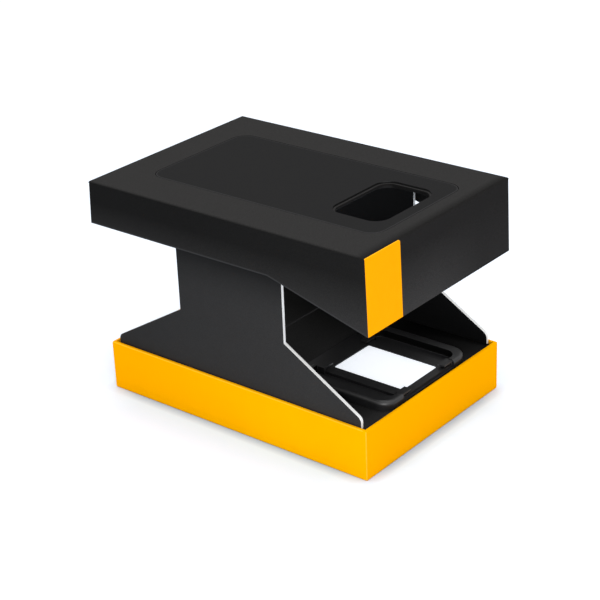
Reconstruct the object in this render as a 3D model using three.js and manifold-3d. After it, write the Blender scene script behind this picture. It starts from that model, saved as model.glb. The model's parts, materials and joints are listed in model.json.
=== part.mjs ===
// Film negative scanner: a folding stand of board with a lit film tray in its base
// and a platform for a camera above it.
// Millimetres. X is the width, Y the length with the front towards minus Y, Z is up.
// The origin is the middle of the underside.
import * as THREE from 'three';
import { mergeVertices } from 'three/addons/utils/BufferGeometryUtils.js';
import Module from 'manifold-3d';

const wasm = await Module();
wasm.setup();

// Counts of facets and copies
const foldSteps = 5;
const roundSides = 24;
const wireSides = 8;
const wireSteps = 14;
const springStepsPerTurn = 9;
const springSides = 6;
const springTurns = 2.5;
const lampColumns = 2;
const lampRows = 3;
const gripRidges = 3;

// Clearance between neighbours, and how far a cut runs past the face that it opens
const clearance = 0.3;
const overrun = 2;

// Base tray of folded board
const baseLength = 146.4;
const baseWidth = 100.2;
const baseHeight = 23.7;
const baseWall = 1.5;
const baseFloor = 1.5;
const baseFold = 0.6;
const dipHalfWidth = 30;
const dipSlopeRun = 6;
const dipDepth = 1.8;
const dipRadius = 3;

// Black board of the deck, the side panels and the platform
const board = 1.65;
const boardFold = 0.8;
const deckBelowRim = 1.5;
const frontDeckLength = 89.25;

// Side panels: a wide foot, a slope and a narrow neck
const neckWidth = 58.8;
const footInset = 2.4;
const footRise = 3.8;
const footRadius = 3;
const kneeRise = 27.5;
const kneeRadius = 0.7;
const neckRadius = 1.5;

// Platform: a lid, open below, with leaning end walls, of which the front one is deeper
const overallHeight = 103.4;
const platformSlip = 1.15;
const platformFold = 1.2;
const platformFrontDepth = 34.4;
const platformRearDepth = 20.4;
const platformSlopeRun = 50.4;
const platformLean = 1.1;
const linerThickness = 1.85;
const linerLift = 1.2;
const tabWidth = 7.5;
const tabThickness = 1;
const stiffenerWidth = 58;
const stiffenerInset = 4;
const padWidth = 64;
const padLength = 124.5;
const padFrontInset = 9.5;
const padRadius = 7;
const padThickness = 0.6;
const apertureWidth = 40;
const apertureDepth = 26;
const apertureRadius = 6;
const apertureStep = 1;

// Film tray of black plastic: raised rims, a plateau and a stage for the film
const filmWidth = 35;
const filmThickness = 0.9;
const windowWidth = 25.9;
const windowLength = 37.7;
const windowRadius = 0.8;
const trayInset = 1.4;
const trayFrontMargin = 4.85;
const trayRearMargin = 7.25;
const trayTail = 5.2;
const trayFloor = 0.9;
const trayWall = 1.2;
const stageMargin = 1;
const stageRise = 1.2;
const stageEndInset = 0.9;
const plateauWidth = 7;
const rimWidth = 5.7;
const rimRise = 3.3;
const rimCornerRadius = 7.5;
const rimTopRadius = 1.9;
const rimEndWidth = 2.9;
const rimInnerRadius = 5;
const mouthMargin = 1.5;
const skirtMargin = 4.35;
const skirtEndMargin = 3.3;
const skirtDepth = 3;
const hookLength = 3.6;
const hookPost = 1.4;
const hookReach = 5.2;
const hookThickness = 0.8;
const hookGap = 0.45;

// Light unit below the window
const lampFloor = 1.2;
const lampNotchWidth = 6;
const lampNotchHeight = 3;
const lampBoardThickness = 1.6;
const lampBoardMargin = 0.3;
const lampSize = 3.4;
const lampHeight = 1.4;
const lampPitchX = 15;
const lampPitchY = 13;
const reflectorWall = 1;
const reflectorFootMargin = 3;
const diffuserFlange = 1.8;

// Battery bay behind the light unit, for two cells that lie across the base
const cellDiameter = 14.5;
const cellLength = 49;
const cellNubDiameter = 5.5;
const cellNubLength = 1.4;
const cellShoulder = 0.8;
const cellGap = 1.3;
const bayGap = 8;
const bayWall = 1.5;
const bayEndRoom = 3.2;
const bayHeadroom = 0.6;
const bayLipWidth = 3;
const bayLipThickness = 1.2;
const bayFrameWidth = 4.5;
const bayRib = 1.2;
const bayRibDepth = 1.5;
const doorThickness = 1.2;
const doorPinRadius = 0.4;
const doorPinLength = 1.6;
const doorNotchWidth = 14;
const doorNotchDepth = 1.6;
const contactThickness = 0.4;
const contactWidth = 9;
const contactHeight = 10;
const springWire = 0.6;
const springRadius = 4.4;
const springTipRadius = 2.4;

// Slide switch in the rear wall
const switchOffset = 20;
const switchHeight = 12;
const switchTravel = 4;
const knobWidth = 4.4;
const knobHeight = 3.2;
const knobCapMargin = 0.7;
const knobCapThickness = 1;
const knobRidge = 0.35;
const bezelWall = 1.6;
const bezelFlange = 2;
const bezelThickness = 0.8;
const bezelRadius = 1.2;
const switchDepth = 7;
const switchBodyMargin = 1.6;
const switchPocket = 1.8;

// Insulated leads inside the base
const leadDiameter = 1.3;
const leadSpacing = 3.5;
const leadStubShare = 0.3;

// Places worked out from the sizes above
const baseInnerX = baseWidth / 2 - baseWall;
const baseInnerY = baseLength / 2 - baseWall;
const deckTop = baseHeight - deckBelowRim;
const deckBottom = deckTop - board;
const innerFloor = baseFloor + clearance;
const boardX = baseInnerX - clearance;
const boardY = baseInnerY - clearance;
const creaseX = boardX - board / 2;
const creaseZ = deckTop + clearance + board / 2;
const footY = baseInnerY - footInset;
const panelTop = overallHeight - board - clearance - creaseZ;
const platformX = boardX + linerThickness + board + clearance * 2;
const platformY = baseLength / 2 + platformSlip + board;
const trayFrontY = trayInset - baseInnerY;
const windowY = trayFrontY + trayFrontMargin + windowLength / 2;
const rimFront = trayFrontY - windowY;
const rimRear = windowLength / 2 + trayRearMargin;
const trayRear = rimRear + trayTail;
const stageX = filmWidth / 2 + stageMargin;
const rimInnerX = stageX + plateauWidth;
const rimOuterX = rimInnerX + rimWidth;
const trayBottom = deckTop + clearance;
const plateauTop = trayBottom + trayFloor;
const stageTop = plateauTop + stageRise;
const rimTop = plateauTop + rimRise;
const skirtX = windowWidth / 2 + skirtMargin;
const skirtY = windowLength / 2 + skirtEndMargin;
const skirtBottom = trayBottom - skirtDepth;
const lampTop = skirtBottom - clearance;
const lampBoardX = skirtX - trayWall - lampBoardMargin;
const lampBoardY = skirtY - trayWall - lampBoardMargin;
const lampBoardBottom = innerFloor + lampFloor + clearance;
const lampBoardTop = lampBoardBottom + lampBoardThickness;
const diffuserTop = plateauTop - clearance;
const diffuserBottom = diffuserTop - diffuserFlange;
const bayInnerX = cellLength / 2 + bayEndRoom;
const bayInnerY = cellDiameter + cellGap * 2;
const bayLipX = bayInnerX + bayFrameWidth + bayLipWidth;
const bayLipY = bayInnerY + bayFrameWidth + bayLipWidth;
const bayY = windowY + skirtY + bayGap + bayLipY;
const doorBottom = clearance;
const doorTop = doorBottom + doorThickness;
const hingeZ = doorBottom + doorThickness / 2;
const hingeY = bayInnerY - clearance - doorThickness / 2;
const cellZ = doorTop + clearance + cellDiameter / 2;
const cellY = cellDiameter / 2 + cellGap / 2;
const bayCeiling = cellZ + cellDiameter / 2 + bayHeadroom;
const slotX = (knobWidth + switchTravel) / 2 + clearance;
const slotZ = knobHeight / 2 + clearance;
const sleeveX = slotX + bezelWall;
const sleeveZ = slotZ + bezelWall;
const sleeveDepth = baseWall + board + clearance * 2;

// Finishes
const yellowBoard = finish(0xf6a80a, 0.55);
const blackBoard = finish(0x1d1d1f, 0.7);
const blackPlastic = finish(0x151517, 0.4);
const greyPlastic = finish(0x2b2b2e, 0.5);
const whitePlastic = finish(0xe9e9e6, 0.45);
const milkyPlastic = finish(0xf4f6f8, 0.3);
const softPad = finish(0x26262a, 0.9);
const boardGreen = finish(0x1f5a3a, 0.5);
const lampYellow = finish(0xf5eec0, 0.3);
const steel = finish(0xb8bcc0, 0.3, 0.9);
const cellJacket = finish(0x5f656d, 0.4, 0.3);
const leadRed = finish(0xa02420, 0.5);
const leadBlack = finish(0x1a1a1a, 0.5);

function finish(color, roughness, metalness = 0) {
  return new THREE.MeshStandardMaterial({ color, roughness, metalness });
}

// A closed three.js geometry becomes a solid that can be cut and joined.
function solidOf(geometry) {
  geometry.deleteAttribute('normal');
  geometry.deleteAttribute('uv');
  const merged = mergeVertices(geometry);
  return new wasm.Manifold(new wasm.Mesh({
    numProp: 3,
    vertProperties: Float32Array.from(merged.attributes.position.array),
    triVerts: Uint32Array.from(merged.index.array),
  }));
}

function geometryOf(solid) {
  const mesh = solid.getMesh();
  const geometry = new THREE.BufferGeometry();
  geometry.setAttribute('position', new THREE.BufferAttribute(mesh.vertProperties, 3));
  geometry.setIndex(new THREE.BufferAttribute(mesh.triVerts, 1));
  geometry.computeVertexNormals();
  return geometry;
}

// The points of an outline whose corners [a, b, radius] are each rounded.
function roundedOutline(corners) {
  const points = [];
  corners.forEach(([a, b, radius], i) => {
    const corner = new THREE.Vector2(a, b);
    if (!radius) {
      points.push(corner);
      return;
    }
    const [beforeA, beforeB] = corners.at(i - 1);
    const [afterA, afterB] = corners[(i + 1) % corners.length];
    const before = new THREE.Vector2(beforeA, beforeB).sub(corner).normalize();
    const after = new THREE.Vector2(afterA, afterB).sub(corner).normalize();
    const halfAngle = Math.acos(before.dot(after)) / 2;
    const toCentre = before.clone().add(after).setLength(radius / Math.sin(halfAngle));
    const start = before.setLength(radius / Math.tan(halfAngle)).sub(toCentre);
    const end = after.setLength(radius / Math.tan(halfAngle)).sub(toCentre);
    const turn = Math.atan2(start.cross(end), start.dot(end));
    for (let step = 0; step <= foldSteps; step += 1) {
      const spun = start.clone().rotateAround(new THREE.Vector2(), turn * step / foldSteps);
      points.push(spun.add(toCentre).add(corner));
    }
  });
  return points;
}

function rectangle(halfA, halfB, radius = 0, middleB = 0) {
  return roundedOutline([
    [-halfA, middleB - halfB, radius],
    [halfA, middleB - halfB, radius],
    [halfA, middleB + halfB, radius],
    [-halfA, middleB + halfB, radius],
  ]);
}

// An outline run straight along an axis: (y, z) along x, (x, z) along y, (x, y) along z.
function extruded(outline, axis, from, to, holes = []) {
  const shape = new THREE.Shape(outline);
  shape.holes = holes.map((hole) => new THREE.Path(hole));
  const geometry = new THREE.ExtrudeGeometry(shape, { depth: to - from, bevelEnabled: false });
  const x = new THREE.Vector3(1, 0, 0);
  const y = new THREE.Vector3(0, 1, 0);
  const z = new THREE.Vector3(0, 0, 1);
  if (axis === 'x') {
    geometry.applyMatrix4(new THREE.Matrix4().makeBasis(y, z, x));
    geometry.translate(from, 0, 0);
  } else if (axis === 'y') {
    geometry.applyMatrix4(new THREE.Matrix4().makeBasis(x, z, y.clone().negate()));
    geometry.translate(0, to, 0);
  } else {
    geometry.translate(0, 0, from);
  }
  return solidOf(geometry);
}

// A rounded block by its least and greatest places along each axis.
function block([x0, x1], [y0, y1], [z0, z1], radius = 0) {
  const outline = rectangle((x1 - x0) / 2, (y1 - y0) / 2, radius);
  return extruded(outline, 'z', z0, z1).translate((x0 + x1) / 2, (y0 + y1) / 2, 0);
}

// A block centred in X and Y.
function plate(halfX, halfY, bottom, top, radius = 0) {
  return extruded(rectangle(halfX, halfY, radius), 'z', bottom, top);
}

// A solid through rings of points, each listed anticlockwise seen from above.
function lofted(rings) {
  const count = rings[0].points.length;
  const positions = [];
  rings.forEach(({ points, height }) => {
    points.forEach((point) => positions.push(point.x, point.y, height));
  });
  const index = [];
  for (let level = 0; level + 1 < rings.length; level += 1) {
    for (let i = 0; i < count; i += 1) {
      const here = level * count + i;
      const next = level * count + (i + 1) % count;
      index.push(here, next, next + count, here, next + count, here + count);
    }
  }
  const top = (rings.length - 1) * count;
  for (let i = 1; i + 1 < count; i += 1) {
    index.push(0, i + 1, i);
    index.push(top, top + i, top + i + 1);
  }
  const geometry = new THREE.BufferGeometry();
  geometry.setAttribute('position', new THREE.Float32BufferAttribute(positions, 3));
  geometry.setIndex(index);
  return solidOf(geometry);
}

// A block with round upright corners and a round upper edge.
function softTopped([x0, x1], [y0, y1], [z0, z1], cornerRadius, topRadius) {
  const halfX = (x1 - x0) / 2;
  const halfY = (y1 - y0) / 2;
  const rings = [{ points: rectangle(halfX, halfY, cornerRadius), height: z0 }];
  for (let step = 0; step <= foldSteps; step += 1) {
    const angle = Math.PI / 2 * step / foldSteps;
    const inset = topRadius * (1 - Math.cos(angle));
    rings.push({
      points: rectangle(halfX - inset, halfY - inset, cornerRadius - inset),
      height: z1 - topRadius * (1 - Math.sin(angle)),
    });
  }
  return lofted(rings).translate((x0 + x1) / 2, (y0 + y1) / 2, 0);
}

function roundBar(radius, axis, from, to) {
  const geometry = new THREE.CylinderGeometry(radius, radius, to - from, roundSides);
  geometry.translate(0, (from + to) / 2, 0);
  if (axis === 'x') geometry.rotateZ(-Math.PI / 2);
  if (axis === 'z') geometry.rotateX(Math.PI / 2);
  return solidOf(geometry);
}

// Both copies of a solid, one each side of the middle.
function mirrored(solid) {
  return solid.add(solid.mirror([1, 0, 0]));
}

function addPiece(parent, name, solid, material) {
  const mesh = new THREE.Mesh(geometryOf(solid), material);
  mesh.name = name;
  parent.add(mesh);
  return mesh;
}

function groupAt(parent, x, y, z) {
  const group = new THREE.Group();
  group.position.set(x, y, z);
  parent.add(group);
  return group;
}

// Base: one sheet folded up into four walls, with a way in for the bay and the switch.
function baseTray() {
  const across = [
    [-baseWidth / 2, 0, baseFold],
    [baseWidth / 2, 0, baseFold],
    [baseWidth / 2, baseHeight, baseFold],
    [-baseWidth / 2, baseHeight, baseFold],
  ];
  const along = [
    [-baseLength / 2, 0, baseFold],
    [baseLength / 2, 0, baseFold],
    [baseLength / 2, baseHeight, baseFold],
    [-baseLength / 2, baseHeight, baseFold],
  ];
  const outside = extruded(roundedOutline(across), 'y', -baseLength / 2, baseLength / 2)
    .intersect(extruded(roundedOutline(along), 'x', -baseWidth / 2, baseWidth / 2));
  const inside = plate(baseInnerX, baseInnerY, baseFloor, baseHeight + overrun);
  const bayWay = plate(bayLipX - bayLipWidth + clearance, bayLipY - bayLipWidth + clearance, -overrun,
    baseFloor + overrun).translate(0, bayY, 0);
  return outside.subtract(inside).subtract(bayWay).subtract(switchWay(baseInnerY)).subtract(rearDip());
}

// A shallow dip in the rear wall's upper edge.
function rearDip() {
  const outline = roundedOutline([
    [dipSlopeRun - dipHalfWidth, baseHeight - dipDepth, dipRadius],
    [dipHalfWidth - dipSlopeRun, baseHeight - dipDepth, dipRadius],
    [dipHalfWidth, baseHeight, 0],
    [dipHalfWidth, baseHeight + overrun, 0],
    [-dipHalfWidth, baseHeight + overrun, 0],
    [-dipHalfWidth, baseHeight, 0],
  ]);
  return extruded(outline, 'y', baseInnerY - clearance, baseLength / 2 + overrun);
}

// The hole that the switch sleeve passes through, from a given depth outwards.
function switchWay(fromY) {
  const hole = rectangle(sleeveX + clearance, sleeveZ + clearance);
  return extruded(hole, 'y', fromY - overrun, baseLength / 2 + overrun)
    .translate(switchOffset, 0, switchHeight);
}

// Deck boards: a flat top and a leg folded down to the floor of the tray.
function deckOutline(legY, edgeY) {
  const inward = Math.sign(edgeY - legY) * board;
  return [
    [legY, innerFloor, 0],
    [legY + inward, innerFloor, 0],
    [legY + inward, deckBottom, 0],
    [edgeY, deckBottom, 0],
    [edgeY, deckTop, 0],
    [legY, deckTop, boardFold],
  ];
}

function frontDeck() {
  const rearEdge = frontDeckLength - boardY;
  const sheet = extruded(roundedOutline(deckOutline(-boardY, rearEdge)), 'x', -boardX, boardX);
  const well = plate(skirtX + clearance, skirtY + clearance, deckBottom - overrun, deckTop + overrun);
  return sheet.subtract(well.translate(0, windowY, 0));
}

function rearDeck() {
  const frontEdge = frontDeckLength - boardY + clearance;
  const outline = roundedOutline(deckOutline(boardY, frontEdge)).reverse();
  return extruded(outline, 'x', -boardX, boardX).subtract(switchWay(boardY - board));
}

// Upright strips under the deck's long edges.
function riser() {
  const halfLength = boardY - board - clearance;
  return plate(board / 2, halfLength, innerFloor, deckBottom - clearance);
}

// Film tray, about the middle of its window.
function filmTray() {
  const mouthX = stageX + mouthMargin - stageMargin;
  const body = block([-rimOuterX, rimOuterX], [rimFront, trayRear], [trayBottom, plateauTop],
    rimCornerRadius);
  const rims = softTopped([-rimOuterX, rimOuterX], [rimFront, rimRear], [trayBottom, rimTop],
    rimCornerRadius, rimTopRadius);
  const pocket = block([-rimInnerX, rimInnerX], [rimFront + rimEndWidth, rimRear - rimEndWidth],
    [plateauTop, rimTop + overrun], rimInnerRadius);
  const channel = block([-mouthX, mouthX], [rimFront - overrun, trayRear + overrun],
    [plateauTop, rimTop + overrun]);
  const stage = block([-stageX, stageX], [rimFront + stageEndInset, trayRear - stageEndInset],
    [trayBottom, stageTop]);
  const skirt = plate(skirtX, skirtY, skirtBottom, plateauTop);
  const well = plate(skirtX - trayWall, skirtY - trayWall, skirtBottom - overrun, plateauTop);
  const opening = plate(windowWidth / 2, windowLength / 2, trayBottom - overrun, stageTop + overrun,
    windowRadius);
  return body.add(rims).subtract(pocket).subtract(channel).add(stage).add(skirt)
    .subtract(well).subtract(opening).add(filmHooks());
}

// Four hooks that hold the film's edges down on the stage.
function filmHooks() {
  const postInner = filmWidth / 2 + clearance;
  const postOuter = postInner + hookPost;
  const hookTop = stageTop + filmThickness + hookThickness;
  const post = block([postInner, postOuter], [-hookLength / 2, hookLength / 2], [trayBottom, hookTop]);
  const lip = block([postInner - hookReach, postOuter], [-hookLength / 2, hookLength / 2],
    [hookTop - hookThickness, hookTop]);
  const pair = mirrored(post.add(lip));
  const placeY = (windowLength + hookLength) / 2 + hookGap;
  return pair.translate(0, -placeY, 0).add(pair.translate(0, placeY, 0));
}

// Light unit: a tub, a board of lamps, a flared reflector and a milky window plate.
function lightBox() {
  const outside = plate(skirtX, skirtY, innerFloor, lampTop, boardFold);
  const inside = plate(skirtX - trayWall, skirtY - trayWall, innerFloor + lampFloor, lampTop + overrun);
  const notch = block([-lampNotchWidth / 2, lampNotchWidth / 2],
    [skirtY - trayWall - overrun, skirtY + overrun], [lampBoardTop, lampBoardTop + lampNotchHeight]);
  return outside.subtract(inside).subtract(notch);
}

function lampBoard() {
  return plate(lampBoardX, lampBoardY, lampBoardBottom, lampBoardTop);
}

function addLamps(parent) {
  for (let column = 0; column < lampColumns; column += 1) {
    for (let row = 0; row < lampRows; row += 1) {
      const lamp = plate(lampSize / 2, lampSize / 2, 0, lampHeight);
      const mesh = addPiece(parent, `lamp_${column * lampRows + row + 1}`, lamp, lampYellow);
      mesh.position.x = (column - (lampColumns - 1) / 2) * lampPitchX;
      mesh.position.y = (row - (lampRows - 1) / 2) * lampPitchY;
      mesh.position.z = lampBoardTop + clearance;
    }
  }
}

function reflector() {
  const foot = lampBoardTop + clearance;
  const head = diffuserBottom - clearance;
  const flare = (extra, from, to) => lofted([
    { points: rectangle(lampBoardX - reflectorFootMargin + extra, lampBoardY - reflectorFootMargin + extra),
      height: from },
    { points: rectangle(lampBoardX + extra, lampBoardY + extra), height: to },
  ]);
  const leadWay = block([-lampNotchWidth / 2, lampNotchWidth / 2], [0, skirtY],
    [foot - overrun, foot + lampNotchHeight]);
  const hollow = flare(-reflectorWall, foot, head);
  const mouths = plate(lampBoardX - reflectorFootMargin - reflectorWall,
    lampBoardY - reflectorFootMargin - reflectorWall, foot - overrun, head);
  const topCut = plate(lampBoardX - reflectorWall, lampBoardY - reflectorWall, head, head + overrun);
  return flare(0, foot, head).subtract(hollow).subtract(mouths).subtract(topCut).subtract(leadWay);
}

function diffuserPlate() {
  const flange = plate(lampBoardX, lampBoardY, diffuserBottom, diffuserTop);
  const raised = plate(windowWidth / 2 - clearance, windowLength / 2 - clearance, diffuserBottom,
    stageTop - clearance / 2, windowRadius);
  return flange.add(raised);
}

// Battery bay, about the middle of its cells: a tub open below, with a lip on the tray's floor.
function batteryBay() {
  const bayOuterX = bayInnerX + bayWall;
  const bayOuterY = bayInnerY + bayWall;
  const tub = plate(bayOuterX, bayOuterY, doorTop, bayCeiling + bayWall, boardFold);
  const lip = plate(bayLipX, bayLipY, innerFloor, innerFloor + bayLipThickness);
  const frame = plate(bayLipX - bayLipWidth, bayLipY - bayLipWidth, doorBottom, innerFloor);
  const room = plate(bayInnerX, bayInnerY, -overrun, bayCeiling);
  const hole = roundBar(doorPinRadius + clearance, 'x', bayInnerX - overrun, bayInnerX + doorPinLength)
    .translate(0, hingeY, hingeZ);
  const rib = block([-bayInnerX / 2, bayInnerX / 2], [-bayRib / 2, bayRib / 2],
    [cellZ + cellDiameter / 2 - bayRibDepth, bayCeiling + bayWall / 2]);
  const outlet = roundBar(leadDiameter / 2 + clearance, 'y', 0, bayOuterY + overrun)
    .translate(0, 0, innerFloor + bayLipThickness + leadDiameter);
  const outlets = outlet.translate(-leadSpacing / 2, 0, 0).add(outlet.translate(leadSpacing / 2, 0, 0));
  const rearOutlets = outlets.translate(switchOffset, 0, 0);
  const frontOutlets = outlets.mirror([0, 1, 0]);
  return tub.add(lip).add(frame).subtract(room).subtract(mirrored(hole)).add(rib)
    .subtract(frontOutlets).subtract(rearOutlets);
}

// Door, about its hinge line: a plate with a round hinge edge, two pins and a finger notch.
function batteryDoor() {
  const reach = hingeY + bayInnerY - clearance;
  const halfWidth = bayInnerX - clearance;
  const sheet = block([-halfWidth, halfWidth], [-reach, 0], [-doorThickness / 2, doorThickness / 2]);
  const bead = roundBar(doorThickness / 2, 'x', -halfWidth, halfWidth);
  const pins = roundBar(doorPinRadius, 'x', -halfWidth - doorPinLength, halfWidth + doorPinLength);
  const notch = block([-doorNotchWidth / 2, doorNotchWidth / 2], [-reach - overrun, doorNotchDepth - reach],
    [-doorThickness, doorThickness], doorNotchDepth / 2);
  return sheet.add(bead).add(pins).subtract(notch);
}

// A round cell standing on its flat end, its nub up.
function cell() {
  const radius = cellDiameter / 2;
  const profile = [
    [0, -cellLength / 2],
    [radius - cellShoulder, -cellLength / 2],
    [radius, cellShoulder - cellLength / 2],
    [radius, cellLength / 2 - cellNubLength - cellShoulder],
    [radius - cellShoulder, cellLength / 2 - cellNubLength],
    [cellNubDiameter / 2, cellLength / 2 - cellNubLength],
    [cellNubDiameter / 2, cellLength / 2],
    [0, cellLength / 2],
  ];
  const points = profile.map(([r, y]) => new THREE.Vector2(r, y));
  return solidOf(new THREE.LatheGeometry(points, roundSides));
}

function addCell(parent, name, side) {
  const mesh = addPiece(parent, name, cell(), cellJacket);
  mesh.position.set(0, side * cellY, cellZ);
  mesh.rotation.z = side * Math.PI / 2;
  return mesh;
}

// A contact plate that stands against an end wall of the bay.
function contactPlate(halfWidth) {
  return plate(contactThickness / 2, halfWidth, -contactHeight / 2, contactHeight / 2);
}

// The line of a conical spring that runs along X from its plate to its tip.
class SpringLine extends THREE.Curve {
  constructor(length) {
    super();
    this.length = length;
  }

  getPoint(t, target = new THREE.Vector3()) {
    const angle = Math.PI * 2 * springTurns * t;
    const radius = springRadius + (springTipRadius - springRadius) * t;
    return target.set(this.length * t, radius * Math.cos(angle), radius * Math.sin(angle));
  }
}

function contactSpring() {
  const plateFace = contactThickness + clearance;
  const room = bayEndRoom - plateFace - clearance * 2 - springWire;
  const section = [];
  for (let i = 0; i < springSides; i += 1) {
    const angle = Math.PI * 2 * i / springSides;
    section.push(new THREE.Vector2(Math.cos(angle), Math.sin(angle)).multiplyScalar(springWire / 2));
  }
  const geometry = new THREE.ExtrudeGeometry(new THREE.Shape(section), {
    steps: Math.round(springTurns * springStepsPerTurn),
    extrudePath: new SpringLine(room),
  });
  return solidOf(geometry);
}

function addContacts(parent) {
  const plateX = bayInnerX - clearance - contactThickness / 2;
  const springX = bayInnerX - clearance * 2 - contactThickness - springWire / 2;
  const series = addPiece(parent, 'series_contact', contactPlate(cellY + contactWidth / 2), steel);
  series.position.set(-plateX, 0, cellZ);
  const positive = addPiece(parent, 'positive_contact', contactPlate(contactWidth / 2), steel);
  positive.position.set(plateX, -cellY, cellZ);
  const negative = addPiece(parent, 'negative_contact', contactPlate(contactWidth / 2), steel);
  negative.position.set(plateX, cellY, cellZ);
  const frontSpring = addPiece(parent, 'front_spring', contactSpring(), steel);
  frontSpring.position.set(-springX, -cellY, cellZ);
  const rearSpring = addPiece(parent, 'rear_spring', contactSpring(), steel);
  rearSpring.position.set(springX, cellY, cellZ);
  rearSpring.rotation.z = Math.PI;
}

// Switch pieces, about the middle of the slot on the outer face of the rear wall.
function switchBezel() {
  const sleeve = extruded(rectangle(sleeveX, sleeveZ), 'y', -sleeveDepth, clearance);
  const flange = extruded(rectangle(sleeveX + bezelFlange, sleeveZ + bezelFlange, bezelRadius), 'y',
    clearance, clearance + bezelThickness);
  const slot = extruded(rectangle(slotX, slotZ), 'y', -sleeveDepth - overrun, overrun);
  return sleeve.add(flange).subtract(slot);
}

function switchBody() {
  const front = -sleeveDepth - clearance;
  const body = extruded(rectangle(sleeveX + switchBodyMargin, sleeveZ + switchBodyMargin), 'y',
    front - switchDepth, front);
  const pocket = extruded(rectangle(slotX, slotZ), 'y', front - switchPocket, front + overrun);
  return body.subtract(pocket);
}

// Knob at its rest place, with upright ridges for a fingertip.
function switchKnob() {
  const inner = -sleeveDepth - switchPocket + clearance;
  const faceY = clearance * 2 + bezelThickness;
  const stem = extruded(rectangle(knobWidth / 2, knobHeight / 2), 'y', inner, faceY);
  const capX = knobWidth / 2 + knobCapMargin;
  const capZ = knobHeight / 2 + knobCapMargin;
  const cap = extruded(rectangle(capX, capZ, knobCapMargin), 'y', faceY, faceY + knobCapThickness);
  const ridges = [];
  for (let i = 0; i < gripRidges; i += 1) {
    const x = (i - (gripRidges - 1) / 2) * knobWidth / gripRidges;
    const ridge = roundBar(knobRidge, 'z', -knobHeight / 2, knobHeight / 2);
    ridges.push(ridge.translate(x, faceY + knobCapThickness, 0));
  }
  return stem.add(cap).add(wasm.Manifold.union(ridges));
}

// An insulated lead through points [x, y, z].
function lead(route) {
  const section = [];
  for (let i = 0; i < wireSides; i += 1) {
    const angle = Math.PI * 2 * i / wireSides;
    section.push(new THREE.Vector2(Math.cos(angle), Math.sin(angle)).multiplyScalar(leadDiameter / 2));
  }
  const path = new THREE.CatmullRomCurve3(route.map((point) => new THREE.Vector3(...point)));
  const shape = new THREE.Shape(section);
  return solidOf(new THREE.ExtrudeGeometry(shape, { steps: wireSteps, extrudePath: path }));
}

// Two leads from the bay back to the switch.
function supplyLead(side) {
  const x = switchOffset + side * leadSpacing / 2;
  const start = bayY + bayInnerY + bayWall + clearance;
  const low = innerFloor + bayLipThickness + leadDiameter;
  const end = baseLength / 2 - sleeveDepth - clearance * 2 - switchDepth;
  const stub = (end - start) * leadStubShare;
  return lead([
    [x, start, low],
    [x, start + stub, low],
    [x, end - stub, switchHeight],
    [x, end, switchHeight],
  ]);
}

// Two leads from the bay forwards into the light unit.
function lampLead(side) {
  const x = side * leadSpacing / 2;
  const start = bayY - bayInnerY - bayWall - clearance;
  const low = innerFloor + bayLipThickness + leadDiameter;
  const high = lampBoardTop + clearance + leadDiameter / 2;
  const end = windowY + skirtY - trayWall - leadDiameter;
  const stub = (start - end) * leadStubShare;
  return lead([
    [x, start, low],
    [x, start - stub, low],
    [x, end + stub, high],
    [x, end, high],
  ]);
}

// Side panel, about its crease: the outer face is on the side given.
function sidePanel() {
  const footHeight = baseHeight + footRise - creaseZ;
  const kneeHeight = baseHeight + kneeRise - creaseZ;
  const outline = roundedOutline([
    [-footY, 0, 0],
    [footY, 0, 0],
    [footY, footHeight, footRadius],
    [neckWidth / 2, kneeHeight, kneeRadius],
    [neckWidth / 2, panelTop, neckRadius],
    [-neckWidth / 2, panelTop, neckRadius],
    [-neckWidth / 2, kneeHeight, kneeRadius],
    [-footY, footHeight, footRadius],
  ]);
  const sheet = extruded(outline, 'x', -board / 2, board / 2);
  return sheet.add(roundBar(board / 2, 'y', -footY, footY));
}

// The platform's side outline, about its top, between end walls that lean outwards by a given amount.
function platformOutline(endY, lean, top, lift, fold) {
  const slopeTop = lift - platformRearDepth;
  const slopeBottom = lift - platformFrontDepth;
  const kinkY = platformSlopeRun - platformY;
  const frontShare = (kinkY + endY + lean) / (platformSlopeRun + platformLean);
  const frontZ = slopeTop + (slopeBottom - slopeTop) * frontShare;
  return roundedOutline([
    [lean * frontZ / platformFrontDepth - endY, frontZ, 0],
    [kinkY, slopeTop, 0],
    [endY - lean * slopeTop / platformRearDepth, slopeTop, 0],
    [endY, top, fold],
    [-endY, top, fold],
  ]);
}

function platformBox(inset, fold, lift) {
  const top = -inset;
  const halfX = platformX - inset;
  const endY = platformY - inset;
  const across = roundedOutline([
    [-halfX, lift - platformFrontDepth, 0],
    [halfX, lift - platformFrontDepth, 0],
    [halfX, top, fold],
    [-halfX, top, fold],
  ]);
  const along = platformOutline(endY, platformLean, top, lift, fold);
  return extruded(across, 'y', -endY - overrun, endY + overrun)
    .intersect(extruded(along, 'x', -halfX, halfX));
}

function apertureOutline(extra) {
  return rectangle(apertureWidth / 2 + extra, apertureDepth / 2 + extra, apertureRadius + extra, windowY);
}

function padOutline(extra) {
  const middle = padFrontInset + padLength / 2 - platformY;
  return rectangle(padWidth / 2 + extra, padLength / 2 + extra, padRadius + extra, middle);
}

// Platform pieces, about the middle of its top face.
function platformLid() {
  const padDepth = padThickness + clearance;
  const recess = extruded(padOutline(clearance), 'z', -padDepth, overrun);
  const aperture = extruded(apertureOutline(0), 'z', -board - overrun, overrun);
  return platformBox(0, platformFold, 0)
    .subtract(platformBox(board, 0, -overrun))
    .subtract(recess).subtract(aperture);
}

function gripPad() {
  return extruded(padOutline(0), 'z', -padThickness, 0, [apertureOutline(apertureStep)]);
}

function stiffener() {
  const top = -board - clearance;
  const outline = rectangle(stiffenerWidth / 2, platformY - board - clearance - stiffenerInset, neckRadius);
  return extruded(outline, 'z', top - board, top, [apertureOutline(apertureStep * 2)]);
}

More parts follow.
